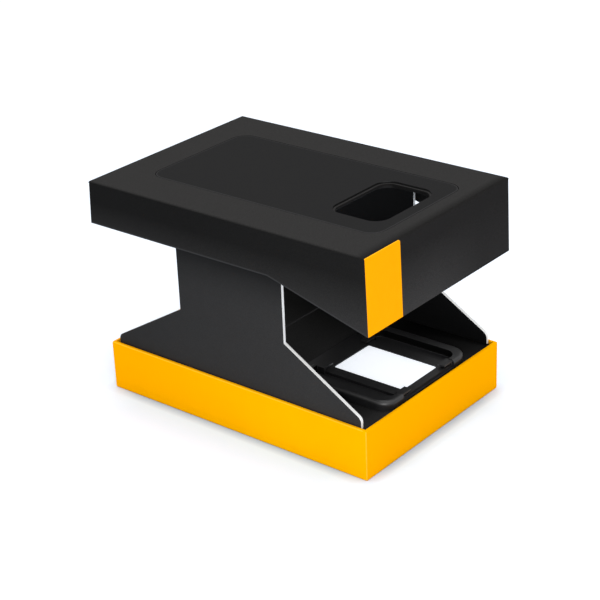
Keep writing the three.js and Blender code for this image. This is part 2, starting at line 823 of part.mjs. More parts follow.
// Inner lining of a side wall, about the middle of its thickness.
function liner() {
  const endY = platformY - board - clearance * 2 - tabThickness;
  const outline = platformOutline(endY, 0, -board - clearance, linerLift, 0);
  return extruded(outline, 'x', -linerThickness / 2, linerThickness / 2);
}

// A tab glued behind an end wall, about the wall's inner face: it leans as the wall does.
function cornerTab(sideY, depth) {
  const top = -board - clearance;
  const bottom = linerLift - depth;
  const lean = platformLean * (depth - linerLift) / depth;
  const outline = [[lean - tabThickness, bottom], [lean, bottom], [0, top], [-tabThickness, top]];
  const points = outline.map(([y, z]) => new THREE.Vector2(y, z));
  const tab = extruded(points, 'x', -tabWidth / 2, tabWidth / 2);
  return sideY > 0 ? tab : tab.mirror([0, 1, 0]);
}

// The tabs in the platform's four corners.
function addCornerTabs(parent) {
  const outerX = platformX - board - clearance;
  const wallY = platformY - board - clearance;
  const corners = [
    ['front_left_tab', -1, -1, platformFrontDepth],
    ['front_right_tab', 1, -1, platformFrontDepth],
    ['rear_left_tab', -1, 1, platformRearDepth],
    ['rear_right_tab', 1, 1, platformRearDepth],
  ];
  corners.forEach(([name, sideX, sideY, depth]) => {
    const mesh = addPiece(parent, name, cornerTab(sideY, depth), blackBoard);
    mesh.position.x = sideX * (outerX - tabWidth / 2);
    mesh.position.y = sideY * wallY;
  });
}

function buildBase(parent) {
  const base = groupAt(parent, 0, 0, 0);
  addPiece(base, 'base_tray', baseTray(), yellowBoard);
  addPiece(base, 'front_deck', frontDeck(), blackBoard);
  addPiece(base, 'rear_deck', rearDeck(), blackBoard);
  addPiece(base, 'left_riser', riser(), blackBoard).position.x = -creaseX;
  addPiece(base, 'right_riser', riser(), blackBoard).position.x = creaseX;
  addPiece(base, 'supply_lead_red', supplyLead(1), leadRed);
  addPiece(base, 'supply_lead_black', supplyLead(-1), leadBlack);
  addPiece(base, 'lamp_lead_red', lampLead(1), leadRed);
  addPiece(base, 'lamp_lead_black', lampLead(-1), leadBlack);
}

function buildLightUnit(parent) {
  const unit = groupAt(parent, 0, windowY, 0);
  addPiece(unit, 'film_tray', filmTray(), blackPlastic);
  addPiece(unit, 'light_box', lightBox(), whitePlastic);
  addPiece(unit, 'lamp_board', lampBoard(), boardGreen);
  addLamps(unit);
  addPiece(unit, 'reflector', reflector(), whitePlastic);
  addPiece(unit, 'diffuser_plate', diffuserPlate(), milkyPlastic);
}

function buildBatteryBay(parent) {
  const bay = groupAt(parent, 0, bayY, 0);
  addPiece(bay, 'battery_bay', batteryBay(), greyPlastic);
  addPiece(bay, 'battery_door', batteryDoor(), blackPlastic).position.set(0, hingeY, hingeZ);
  addCell(bay, 'front_cell', -1);
  addCell(bay, 'rear_cell', 1);
  addContacts(bay);
}

function buildSwitch(parent) {
  const unit = groupAt(parent, switchOffset, baseLength / 2, switchHeight);
  addPiece(unit, 'switch_bezel', switchBezel(), greyPlastic);
  addPiece(unit, 'switch_body', switchBody(), blackPlastic);
  addPiece(unit, 'power_switch', switchKnob(), blackPlastic).position.x = -switchTravel / 2;
}

function buildSidePanels(parent) {
  addPiece(parent, 'left_side_panel', sidePanel(), blackBoard).position.set(-creaseX, 0, creaseZ);
  addPiece(parent, 'right_side_panel', sidePanel(), blackBoard).position.set(creaseX, 0, creaseZ);
}

function buildPlatform(parent) {
  const platform = groupAt(parent, 0, 0, overallHeight);
  const linerX = boardX + clearance + linerThickness / 2;
  addPiece(platform, 'platform_lid', platformLid(), blackBoard);
  addPiece(platform, 'left_liner', liner(), blackBoard).position.x = -linerX;
  addPiece(platform, 'right_liner', liner(), blackBoard).position.x = linerX;
  addCornerTabs(platform);
  addPiece(platform, 'roof_stiffener', stiffener(), blackBoard);
  addPiece(platform, 'grip_pad', gripPad(), softPad);
}

const scanner = new THREE.Group();
buildBase(scanner);
buildLightUnit(scanner);
buildBatteryBay(scanner);
buildSwitch(scanner);
buildSidePanels(scanner);
buildPlatform(scanner);

export default scanner;
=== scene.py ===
import json
import math

import bmesh
import bpy
from mathutils import Matrix, Vector


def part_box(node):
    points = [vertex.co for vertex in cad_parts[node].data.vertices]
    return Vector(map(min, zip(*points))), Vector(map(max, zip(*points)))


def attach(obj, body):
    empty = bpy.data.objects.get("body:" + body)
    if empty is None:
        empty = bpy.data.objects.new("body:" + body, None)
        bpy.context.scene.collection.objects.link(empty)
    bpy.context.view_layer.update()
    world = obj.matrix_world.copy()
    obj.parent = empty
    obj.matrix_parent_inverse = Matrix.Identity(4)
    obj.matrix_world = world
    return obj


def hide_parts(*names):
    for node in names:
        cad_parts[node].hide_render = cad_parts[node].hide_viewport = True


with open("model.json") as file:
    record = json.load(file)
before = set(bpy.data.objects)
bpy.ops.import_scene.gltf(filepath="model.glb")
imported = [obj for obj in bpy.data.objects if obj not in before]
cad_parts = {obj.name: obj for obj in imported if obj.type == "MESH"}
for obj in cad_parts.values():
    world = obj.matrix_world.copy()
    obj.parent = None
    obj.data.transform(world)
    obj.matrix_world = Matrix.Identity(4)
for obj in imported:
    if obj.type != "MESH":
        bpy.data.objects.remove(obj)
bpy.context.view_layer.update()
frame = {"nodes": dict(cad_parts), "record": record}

# Camera, from the straight edges of the photograph
CAMERA_PLACE = (-0.5142, -0.4261, 0.3599)
LOOK_AZIMUTH = math.radians(50.305)
LOOK_DOWN = math.radians(25.268)
LOOK_ROLL = math.radians(-2.344)
CAMERA_LENS = 97.908
SENSOR_WIDTH = 36

# Studio
WORLD_LIGHT = 0.5
FLOOR_HALF = 3
FLOOR_DEPTH = 0.02

# Board and base
BOARD = 0.00165
BASE_WALL = 0.0015
BASE_FOLD = 0.0007
DIP_HALF = 0.030
DIP_SLOPE = 0.006
DIP_DEPTH = 0.0018
BAY_LIP = 0.003
BEZEL_FLANGE = 0.002
CELL_CAP = 0.0022

# Platform
FRONT_DEPTH = 0.0344
REAR_DEPTH = 0.0204
SLOPE_RUN = 0.0504
END_LEAN = 0.0011
SIDE_FOLD = 0.0007
TOP_FOLD = 0.0012
PAD_CORNER = 0.007
PAD_GAP = 0.0003
APERTURE_WIDTH = 0.040
APERTURE_DEPTH = 0.026
APERTURE_CORNER = 0.006
APERTURE_STEP = 0.001
PATCH_WIDTH = 0.0238
PATCH_TOP = 0.0005
PATCH_CORNER = 0.0012
PATCH_BLUR = 0.00006

# Side panels; a corner's size is the straight length that its rounding takes off each side
NECK_HALF = 0.0294
FOOT_RISE = 0.0038
KNEE_RISE = 0.0275
FOOT_CORNER = 0.0017
KNEE_CORNER = 0.0004
NECK_CORNER = 0.0015
BEAD_RADIUS = BOARD * 0.45

# Film tray and window
CLEARANCE = 0.0003
FILM_WIDTH = 0.035
FILM_THICKNESS = 0.0009
WINDOW_WIDTH = 0.0259
WINDOW_LENGTH = 0.0377
WINDOW_CORNER = 0.0008
WINDOW_FLANGE = 0.0018
TRAY_FLOOR = 0.0009
TRAY_TAIL = 0.0052
TRAY_WALL = 0.0012
STAGE_RISE = 0.0012
STAGE_MARGIN = 0.001
STAGE_HALF = FILM_WIDTH / 2 + STAGE_MARGIN
STAGE_END_INSET = 0.0009
MOUTH_GAP = 0.0005
MOUTH_HALF = STAGE_HALF + MOUTH_GAP
PLATEAU_WIDTH = 0.007
POCKET_HALF = STAGE_HALF + PLATEAU_WIDTH
POCKET_ROUND = 0.0008
RIM_CORNER = 0.0075
RIM_ROUND = 0.0019
RIM_END_WIDTH = 0.0029
RIM_INNER_CORNER = 0.005
SKIRT_MARGIN = 0.00435
SKIRT_END_MARGIN = 0.0033
SKIRT_HALF_WIDTH = WINDOW_WIDTH / 2 + SKIRT_MARGIN
SKIRT_HALF_LENGTH = WINDOW_LENGTH / 2 + SKIRT_END_MARGIN
HOOK_LENGTH = 0.0036
HOOK_POST = 0.0014
HOOK_REACH = 0.0052
HOOK_THICKNESS = 0.0008
HOOK_GAP = 0.00045

# Rounding of edges
ROUND_STEPS = 5
CORNER_STEPS = 10
SMALL_PART_SOFTENING = 0.00018
DOOR_SOFTENING = 0.00015
PANEL_SOFTENING = 0.00012
THIN_SOFTENING = 0.0001
LID_SOFTENING = 0.0003
TRAY_SOFTENING = 0.0003
WINDOW_SOFTENING = 0.0002
SMOOTH_UP_TO = math.radians(40)

# How far a cutter runs past what it cuts, and how close two places count as one
OVERRUN = 0.004
WELD = 0.000002

# How much of a face's or an edge's direction lies along an axis, for it to count as turned that way
STRAIGHT = 0.99
NEARLY_STRAIGHT = 0.8
LEANING = 0.5
SLIGHTLY_LEANING = 0.3


# Modelling

def take_up(piece):
    """Selects the piece alone."""
    bpy.ops.object.select_all(action="DESELECT")
    piece.select_set(True)
    bpy.context.view_layer.objects.active = piece


def settle(piece):
    """Puts the piece's place and size into its mesh."""
    take_up(piece)
    bpy.ops.object.transform_apply(location=True, rotation=True, scale=True)


def block(name, low, high):
    low, high = Vector(low), Vector(high)
    bpy.ops.object.select_all(action="DESELECT")
    bpy.ops.mesh.primitive_cube_add(size=1, location=(low + high) / 2)
    piece = bpy.context.object
    piece.name = name
    piece.data.name = name
    piece.scale = high - low
    settle(piece)
    return piece


class Shaping:
    """Edit mode on one piece, whose faces, edges and points are picked by their place."""

    def __init__(self, piece):
        self.piece = piece

    def __enter__(self):
        take_up(self.piece)
        bpy.ops.object.mode_set(mode="EDIT")
        bpy.ops.mesh.select_all(action="DESELECT")
        return self

    def __exit__(self, *problem):
        bpy.ops.object.mode_set(mode="OBJECT")

    def ready_mesh(self, kind):
        bpy.ops.mesh.select_mode(type=kind)
        bpy.ops.mesh.select_all(action="DESELECT")
        return bmesh.from_edit_mesh(self.piece.data)

    def pick_faces(self, test):
        for face in self.ready_mesh("FACE").faces:
            face.select_set(test(face.calc_center_median(), face.normal))
        bmesh.update_edit_mesh(self.piece.data)

    def pick_edges(self, test):
        for edge in self.ready_mesh("EDGE").edges:
            start, end = (vertex.co for vertex in edge.verts)
            edge.select_set(test((start + end) / 2, (end - start).normalized()))
        bmesh.update_edit_mesh(self.piece.data)

    def pick_points(self, test):
        for vertex in self.ready_mesh("VERT").verts:
            vertex.select_set(test(vertex.co))
        bmesh.update_edit_mesh(self.piece.data)

    def move(self, y=0, z=0):
        bpy.ops.transform.translate(value=(0, y, z))

    def extrude(self, z):
        bpy.ops.mesh.extrude_region_move(TRANSFORM_OT_translate={"value": (0, 0, z)})

    def stretch(self, x=1, y=1):
        bpy.ops.transform.resize(value=(x, y, 1), center_override=(0, 0, 0))

    def inset(self, width):
        bpy.ops.mesh.inset(thickness=width, use_boundary=True, use_even_offset=True)

    def round_off(self, radius, steps=ROUND_STEPS):
        bpy.ops.mesh.bevel(offset=radius, segments=steps, profile=0.5, affect="EDGES")

    def split_across(self, y):
        bpy.ops.mesh.select_all(action="SELECT")
        bpy.ops.mesh.bisect(plane_co=(0, y, 0), plane_no=(0, 1, 0))

    def turn_outwards(self):
        bpy.ops.mesh.select_all(action="SELECT")
        bpy.ops.mesh.normals_make_consistent(inside=False)


def faces_up(place, facing):
    return facing.z > STRAIGHT


def faces_down(place, facing):
    return facing.z < -STRAIGHT


def upright(place, along):
    return abs(along.z) > STRAIGHT


def rounded_block(name, low, high, corner, top_round=0, bottom_round=0):
    piece = block(name, low, high)
    with Shaping(piece) as shaping:
        shaping.pick_edges(upright)
        shaping.round_off(corner, CORNER_STEPS)
        for faces, radius in ((faces_up, top_round), (faces_down, bottom_round)):
            if radius:
                shaping.pick_faces(faces)
                bpy.ops.mesh.region_to_loop()
                shaping.round_off(radius)
    return piece


def finish_with(piece, kind, **settings):
    """Applies one modifier to the piece."""
    take_up(piece)
    modifier = piece.modifiers.new(kind.lower(), kind)
    for name, value in settings.items():
        setattr(modifier, name, value)
    bpy.ops.object.modifier_apply(modifier=modifier.name)


def cut(piece, *cutters, operation="DIFFERENCE"):
    """Cuts each cutter out of the piece, and deletes the cutter."""
    for cutter in cutters:
        finish_with(piece, "BOOLEAN", operation=operation, solver="EXACT", object=cutter)
        bpy.data.objects.remove(cutter)


def join_on(piece, *others):
    cut(piece, *others, operation="UNION")


def merge_faces(piece):
    """Merges doubles and flat neighbours, and turns the faces outwards."""
    with Shaping(piece) as shaping:
        bpy.ops.mesh.select_all(action="SELECT")
        bpy.ops.mesh.remove_doubles(threshold=WELD)
        bpy.ops.mesh.dissolve_limited(angle_limit=math.radians(1))
        shaping.turn_outwards()


def soften(piece, radius, steps=2, angle=35):
    """Rounds the edges that bend by more than the angle, and shades the piece smooth."""
    finish_with(piece, "BEVEL", width=radius, segments=steps, limit_method="ANGLE",
                angle_limit=math.radians(angle), use_clamp_overlap=True)
    take_up(piece)
    bpy.ops.object.shade_smooth_by_angle(angle=SMOOTH_UP_TO)
    finish_with(piece, "WEIGHTED_NORMAL", keep_sharp=True, weight=100)


def softened_copy(node, name, radius=SMALL_PART_SOFTENING, steps=2):
    """A copy of a CAD node, with its edges rounded."""
    source = frame["nodes"][node]
    piece = source.copy()
    piece.data = source.data.copy()
    bpy.context.collection.objects.link(piece)
    world = piece.matrix_world.copy()
    piece.parent = None
    piece.matrix_world = world
    piece.name = name
    piece.data.name = name
    settle(piece)
    merge_faces(piece)
    soften(piece, radius, steps)
    return piece


# Materials

class Value:
    """A number that varies over a surface, on which sums add Math nodes."""

    def __init__(self, finish, socket):
        self.finish = finish
        self.socket = socket

    def __add__(self, other):
        return self.finish.worked("ADD", self, other)

    def __sub__(self, other):
        return self.finish.worked("SUBTRACT", self, other)

    def __rsub__(self, other):
        return self.finish.worked("SUBTRACT", other, self)

    def __mul__(self, other):
        return self.finish.worked("MULTIPLY", self, other)

    def __gt__(self, other):
        return self.finish.worked("GREATER_THAN", self, other)

    def __lt__(self, other):
        return self.finish.worked("LESS_THAN", self, other)

    __radd__ = __add__
    __rmul__ = __mul__

    def size(self):
        return self.finish.worked("ABSOLUTE", self)

    def greater_of(self, other):
        return self.finish.worked("MAXIMUM", self, other)

    def lesser_of(self, other):
        return self.finish.worked("MINIMUM", self, other)

    def past_corner(self, other):
        """How far a place lies outside a corner, from how far it lies past each of its two sides."""
        past_one = self.greater_of(0.0)
        past_other = other.greater_of(0.0)
        return self.finish.worked("SQRT", past_one * past_one + past_other * past_other)

    def ramp(self, start, end):
        """0 up to start, 1 from end on."""
        sockets = {"Value": self, "From Min": start, "From Max": end}
        node = self.finish.node("ShaderNodeMapRange", {"clamp": True}, sockets)
        return Value(self.finish, node.outputs["Result"])


class Finish:
    """A material: its nodes, and the place and facing of the surface on the piece."""

    def __init__(self, name, **constants):
        self.material = bpy.data.materials.new(name)
        self.material.use_nodes = True
        self.tree = self.material.node_tree
        self.shader = self.tree.nodes["Principled BSDF"]
        coordinates = self.node("ShaderNodeTexCoord")
        self.place = coordinates.outputs["Object"]
        self.normal = coordinates.outputs["Normal"]
        self.surface(**constants)

    def node(self, kind, settings=None, sockets=None):
        node = self.tree.nodes.new(kind)
        for name, value in (settings or {}).items():
            setattr(node, name, value)
        for name, value in (sockets or {}).items():
            self.join(value, node.inputs[name])
        return node

    def join(self, value, socket):
        if isinstance(value, Value):
            value = value.socket
        if isinstance(value, bpy.types.NodeSocket):
            self.tree.links.new(value, socket)
        else:
            socket.default_value = value

    def surface(self, **sockets):
        for name, value in sockets.items():
            self.join(value, self.shader.inputs[name.replace("_", " ")])

    def worked(self, operation, *numbers):
        node = self.node("ShaderNodeMath", {"operation": operation}, dict(enumerate(numbers)))
        return Value(self, node.outputs[0])

    def part_of(self, vector, axis):
        return Value(self, self.node("ShaderNodeSeparateXYZ", sockets={0: vector}).outputs[axis])

    def along(self, axis):
        return self.part_of(self.place, axis)

    def facing(self, axis):
        return self.part_of(self.normal, axis)

    def stretched(self, x, y, z):
        sockets = {0: self.place, 1: (x, y, z)}
        return self.node("ShaderNodeVectorMath", {"operation": "MULTIPLY"}, sockets).outputs[0]

    def noise(self, scale, detail=3, place=None):
        sockets = {"Vector": place or self.place, "Scale": scale, "Detail": detail, "Roughness": 0.55}
        return Value(self, self.node("ShaderNodeTexNoise", sockets=sockets).outputs[0])

    def cells(self, scale):
        node = self.node("ShaderNodeTexVoronoi", sockets={"Vector": self.place, "Scale": scale})
        return Value(self, node.outputs["Distance"])

    def blended(self, share, first, second, way="MIX"):
        mix = self.node("ShaderNodeMix", {"data_type": "RGBA", "blend_type": way}, {"Factor": share})
        self.join(first, mix.inputs[6])
        self.join(second, mix.inputs[7])
        return mix.outputs[2]

    def grained(self, tone, grain, depth=0.22):
        """The tone, darker and lighter by the depth with the grain."""
        shades = self.blended(grain, grey(1 - depth), grey(1 + depth))
        return self.blended(1.0, tone, shades, way="MULTIPLY")

    def edges(self, start=0.03, end=0.22):
        """1 on rounded edges of a piece whose flats face along the axes."""
        x, y, z = (self.facing(axis).size() for axis in "XYZ")
        return (1.0 - x.greater_of(y).greater_of(z)).ramp(start, end)

    def bumped(self, height, depth, strength=1.0):
        sockets = {"Height": height, "Distance": depth, "Strength": strength}
        return self.node("ShaderNodeBump", sockets=sockets).outputs[0]


def grey(value):
    return (value, value, value, 1)


# Colours, as linear light
# Painted highlight for the rounded and lower edges of black board and along the pad's outline
BLACK_EDGE_HIGHLIGHT = (0.05, 0.05, 0.052, 1)
BOARD_DARK = (0.0071, 0.0068, 0.0067, 1)
BOARD_LIGHT = (0.0112, 0.0107, 0.0106, 1)
# Painted light and shade on the platform's black board: lit and shaded copies of one tone
LID_TOP_LIT = (0.0256, 0.0250, 0.0248, 1)
LID_TOP_FOLD_SHADED = (0.0088, 0.0085, 0.0084, 1)
LID_SIDE_FRONT_LIT = (0.0118, 0.0115, 0.0113, 1)
LID_SIDE_REAR_SHADED = (0.0090, 0.0088, 0.0087, 1)
LID_SIDE_LOW_LIT = (0.0312, 0.0304, 0.0300, 1)
LID_FRONT_SHADED = (0.0160, 0.0151, 0.0149, 1)
LID_FRONT_LOW_LIT = (0.0395, 0.0378, 0.0372, 1)
# Painted light and shade on the side panels: lit front, shaded rear, shadow under the lid, shaded inner side
PANEL_FRONT_LIT = (0.0268, 0.0259, 0.0256, 1)
PANEL_REAR_SHADED = (0.0166, 0.0161, 0.0160, 1)
PANEL_UNDER_LID_SHADOW = grey(0.0010)
PANEL_INSIDE_SHADED = (0.004, 0.004, 0.0042, 1)
# Painted light and shade on the deck: lit front and rear, shadow beside the tray, shade to the right
DECK_FRONT_LIT = (0.0290, 0.0285, 0.0285, 1)
DECK_BESIDE_SHADOW = (0.0075, 0.0074, 0.0076, 1)
DECK_REAR_LIT = (0.0430, 0.0426, 0.0426, 1)
DECK_FAR_SHADE = grey(0.0010)
# Paler line along the deck's seam, and the deck's painted edge highlight
PALE_SEAM_AND_HIGHLIGHT = (0.11, 0.11, 0.112, 1)
CUT_DARK = (0.78, 0.78, 0.77, 1)
CUT_LIGHT = (0.92, 0.92, 0.91, 1)
CUT_FIBRE = (0.62, 0.61, 0.6, 1)
YELLOW = (1.0, 0.455, 0.0, 1)
YELLOW_DEEP = (0.98, 0.43, 0.0, 1)
# Painted shade on the base's front face and towards its rear
YELLOW_SHADED = (0.98, 0.395, 0.0, 1)
# Painted highlight on yellow folds
YELLOW_FOLD_HIGHLIGHT = (1.0, 0.56, 0.035, 1)
YELLOW_BARE = (1.0, 0.58, 0.13, 1)
PATCH_YELLOW = (1.0, 0.38, 0.0, 1)
PATCH_DEEP = (0.98, 0.36, 0.0, 1)
TRAY_DARK = (0.009, 0.009, 0.0095, 1)
TRAY_LIGHT = (0.016, 0.016, 0.017, 1)
# Painted highlight on the tray's rounded edges
TRAY_EDGE_HIGHLIGHT = (0.055, 0.054, 0.054, 1)
# Painted shade in the tray's pockets
POCKET_SHADE_DARK = grey(0.0014)
POCKET_SHADE_LIGHT = grey(0.0026)
PAD_DARK = (0.0085, 0.0084, 0.0086, 1)
PAD_LIGHT = (0.0120, 0.0119, 0.0122, 1)
# Painted highlight on the pad's rounded edges
PAD_EDGE_HIGHLIGHT = (0.07, 0.07, 0.072, 1)
GREY_DARK = (0.02, 0.02, 0.022, 1)
GREY_LIGHT = (0.035, 0.035, 0.038, 1)
WHITE_DARK = (0.72, 0.72, 0.7, 1)
WHITE_LIGHT = (0.8, 0.8, 0.78, 1)
OPAL_DARK = (0.86, 0.88, 0.9, 1)
OPAL_LIGHT = (0.92, 0.93, 0.94, 1)
OPAL_GLOW_DARK = (0.80, 0.87, 1.0, 1)
OPAL_GLOW_LIGHT = (0.93, 0.96, 1.0, 1)
CIRCUIT_DARK = (0.015, 0.11, 0.05, 1)
CIRCUIT_LIGHT = (0.02, 0.15, 0.07, 1)
CIRCUIT_TRACK = (0.03, 0.2, 0.09, 1)
LAMP_DARK = (0.85, 0.75, 0.3, 1)
LAMP_LIGHT = (0.95, 0.9, 0.6, 1)
LAMP_GLOW_COOL = (0.9, 0.93, 1.0, 1)
LAMP_GLOW_WARM = (1.0, 1.0, 0.95, 1)
STEEL_DARK = (0.5, 0.51, 0.53, 1)
STEEL_LIGHT = (0.68, 0.7, 0.72, 1)
CELL_DARK = (0.08, 0.09, 0.11, 1)
CELL_LIGHT = (0.12, 0.13, 0.15, 1)
CELL_METAL = (0.6, 0.61, 0.63, 1)
RED_DARK = (0.35, 0.02, 0.015, 1)
RED_LIGHT = (0.5, 0.04, 0.03, 1)
PAPER_DARK = (0.78, 0.835, 0.92, 1)
PAPER_LIGHT = (0.80, 0.855, 0.94, 1)
PAPER_FAR = grey(0.87)
# Painted contact shadow round the base, and its bluish fringe
PAPER_CONTACT_SHADOW = (0.47, 0.60, 0.755, 1)
PAPER_SHADOW_FRINGE = (0.715, 0.865, 1.0, 1)


# Finishes

class Board(Finish):
    """Laminated board: a fine tooth, with faint mottle and clouds in its sheen."""

    def __init__(self, name, shine):
        super().__init__(name, Specular_IOR_Level=shine)
        self.tooth = self.noise(scale=2600, detail=2)
        self.mottle = self.noise(scale=220)
        self.cloud = self.noise(scale=26, detail=2)
        self.grain = self.tooth.ramp(0.35, 0.72)

    def laminated(self, colour, dullness=0.50):
        """Gives the board its colour, under the sheen of its laminate."""
        self.surface(Base_Color=colour, Roughness=dullness + self.mottle * 0.12 + self.cloud * 0.08,
                     Normal=self.bumped(self.tooth, depth=0.00002, strength=0.5))
        return self

    def edge_highlighted(self, colour):
        """The colour, with a painted highlight in places along its rounded edges."""
        return self.blended(self.edges() * self.mottle.ramp(0.25, 0.6) * 0.45, colour, BLACK_EDGE_HIGHLIGHT)


def black_board():
    finish = Board("black board", shine=0.09)
    # Black board with a painted highlight along its rounded edges
    return finish.laminated(finish.edge_highlighted(finish.blended(finish.grain, BOARD_DARK, BOARD_LIGHT)))


def panel_board(name, inner_side, cover_z):
    """Board of a side panel with painted light and shade: lit towards the front, a painted shadow where the
    lid covers it and below its edge, a darker inner side in painted shade, and painted edge highlights.

    inner_side is the X way that the inner side faces, cover_z the height of the lid's lower edge."""
    finish = Board(name, shine=0.09)
    # Painted light towards the front, painted shadow under the lid, painted shade on the inner side
    rearwards = finish.along("Y").ramp(-0.05, 0.06)
    under_lid_shadow = finish.along("Z").ramp(cover_z - 0.023, cover_z - 0.001)
    inside = finish.facing("X") * inner_side > LEANING
    tone = finish.blended(rearwards, PANEL_FRONT_LIT, PANEL_REAR_SHADED)
    tone = finish.blended(under_lid_shadow * under_lid_shadow, tone, PANEL_UNDER_LID_SHADOW)
    tone = finish.grained(tone, finish.grain, depth=0.16)
    return finish.laminated(finish.edge_highlighted(finish.blended(inside, tone, PANEL_INSIDE_SHADED)))


def deck_board(seam_y, tray_rear):
    """Board with a paler line along the seam and painted highlights on its edges; painted light at the front
    and behind the film tray, a painted shadow beside it and painted shade towards the right.
    """
    finish = Board("deck board", shine=0.04)
    y = finish.along("Y")
    # Painted light and shade by place, and a painted highlight on the edges
    beside = y.ramp(-0.068, -0.040)
    behind = y.ramp(tray_rear - 0.014, tray_rear)
    far = finish.along("X").ramp(0.0, 0.050) * 0.8
    seam = 1.0 - (y - seam_y).size().ramp(0.0004, 0.0006)
    pale_seam_and_highlight = (seam * (0.5 + finish.mottle * 0.5)).greater_of(finish.edges() * 0.25)
    tone = finish.blended(beside, DECK_FRONT_LIT, DECK_BESIDE_SHADOW)
    tone = finish.blended(behind, tone, DECK_REAR_LIT)
    tone = finish.blended(far, tone, DECK_FAR_SHADE)
    tone = finish.grained(tone, finish.grain, depth=0.25)
    return finish.laminated(finish.blended(pale_seam_and_highlight, tone, PALE_SEAM_AND_HIGHLIGHT), dullness=0.46)


def platform_patch(finish, front_y, corner_x, top_z):
    """1 on the printed patch at the left end of the platform's front wall."""
    at_front = finish.along("Y") < front_y + 0.004
    on_front = at_front * (finish.facing("Y") < -0.2) * (finish.facing("X") > -0.6)
    past_end = finish.along("X") - (corner_x + PATCH_WIDTH - PATCH_CORNER)
    past_top = finish.along("Z") - (top_z - PATCH_TOP - PATCH_CORNER)
    outside = past_end.past_corner(past_top).ramp(PATCH_CORNER - PATCH_BLUR, PATCH_CORNER + PATCH_BLUR)
    return on_front * (1.0 - outside)


def lower_edge_highlight(finish, front_y, top_z):
    """1 along the lower edges of the platform's side walls, which slope up from the front: where a highlight
    is painted.
    """
    slope = finish.along("Y").ramp(front_y, front_y + END_LEAN + SLOPE_RUN)
    above = finish.along("Z") - (slope * (FRONT_DEPTH - REAR_DEPTH) + (top_z - FRONT_DEPTH))
    return (1.0 - above.ramp(0.0003, 0.0009)) * (finish.facing("X").size() > LEANING)


def platform_board(front_y, corner_x, top_z):
    """Black board with painted light and shade: a lit top shaded along its front fold, walls lit towards the
    front and lower down, and painted highlights; a printed patch on the front wall.
    """
    finish = Board("platform board", shine=0.01)
    down = top_z - finish.along("Z")
    inward = finish.along("Y") - front_y
    leftwards = 1.0 - finish.along("X").ramp(-0.005, 0.030) * 0.75
    faces_front = finish.facing("Y") < -LEANING
    upwards = finish.facing("Z")
    # Painted light and shade: side walls lit towards the front and lower down, the front wall lit lower down
    # on the left, the top lit but shaded along its front fold
    side = finish.blended(inward.ramp(0, 0.1), LID_SIDE_FRONT_LIT, LID_SIDE_REAR_SHADED)
    side = finish.blended(down.ramp(0.010, 0.033), side, LID_SIDE_LOW_LIT)
    front = finish.blended(down.ramp(0.008, 0.033) * leftwards, LID_FRONT_SHADED, LID_FRONT_LOW_LIT)
    top = finish.blended(inward.ramp(0.0005, 0.006), LID_TOP_FOLD_SHADED, LID_TOP_LIT)
    tone = finish.blended(faces_front, side, front)
    tone = finish.blended(upwards.ramp(0.3, 0.9), tone, top)
    black = finish.grained(tone, finish.grain)
    # Painted highlight along the walls' lower edges
    black = finish.blended(lower_edge_highlight(finish, front_y, top_z) * 0.55, black, BLACK_EDGE_HIGHLIGHT)
    yellow = finish.blended(finish.mottle, PATCH_YELLOW, PATCH_DEEP)
    # Painted highlight on the patch's upper folds
    yellow = finish.blended(finish.edges() * (upwards > 0.1) * 0.6, yellow, YELLOW_FOLD_HIGHLIGHT)
    return finish.laminated(finish.blended(platform_patch(finish, front_y, corner_x, top_z), black, yellow))


def yellow_board(corner):
    """Yellow printed board: painted highlights on its folds but the front one, painted shade on its front
    face and towards its rear, and a bare line at the glued corner.
    """
    finish = Board("yellow board", shine=0.0)
    past_front = finish.along("Y") - corner.y
    past_side = finish.along("X") - corner.x
    # Painted shade on the front face and towards the rear, painted highlight on the upper folds
    shaded = (finish.facing("Y") < -LEANING).greater_of(finish.along("Y").ramp(-0.03, 0.07))
    folds = finish.edges(0.02, 0.2) * (finish.facing("Z") > 0.1) * past_front.ramp(0.0016, 0.0022)
    seam = 1.0 - past_side.size().greater_of(past_front.size()).ramp(0.0003, 0.0005)
    tone = finish.blended(finish.cloud.ramp(0.35, 0.65), YELLOW, YELLOW_DEEP)
    tone = finish.blended(shaded * 0.9, tone, YELLOW_SHADED)
    tone = finish.blended(folds * 0.6, tone, YELLOW_FOLD_HIGHLIGHT)
    tone = finish.blended(seam * finish.mottle.ramp(0.2, 0.6) * 0.25, tone, YELLOW_BARE)
    finish.surface(Base_Color=tone, Roughness=0.45 + finish.mottle * 0.12,
                   Normal=finish.bumped(finish.tooth, depth=0.000015, strength=0.5))
    return finish


def cut_edge():
    """Bare layers and fibres where the board was cut."""
    finish = Finish("paper cut edge", Roughness=0.8)
    fibre = finish.noise(scale=1500, place=finish.stretched(4, 1, 1))
    layers = finish.noise(scale=900, detail=1, place=finish.stretched(5, 0.05, 0.05))
    tone = finish.blended(layers.ramp(0.3, 0.7), CUT_DARK, CUT_LIGHT)
    finish.surface(Base_Color=finish.blended(fibre.ramp(0.55, 0.8) * 0.35, tone, CUT_FIBRE),
                   Normal=finish.bumped(fibre, depth=0.00004, strength=0.6))
    return finish


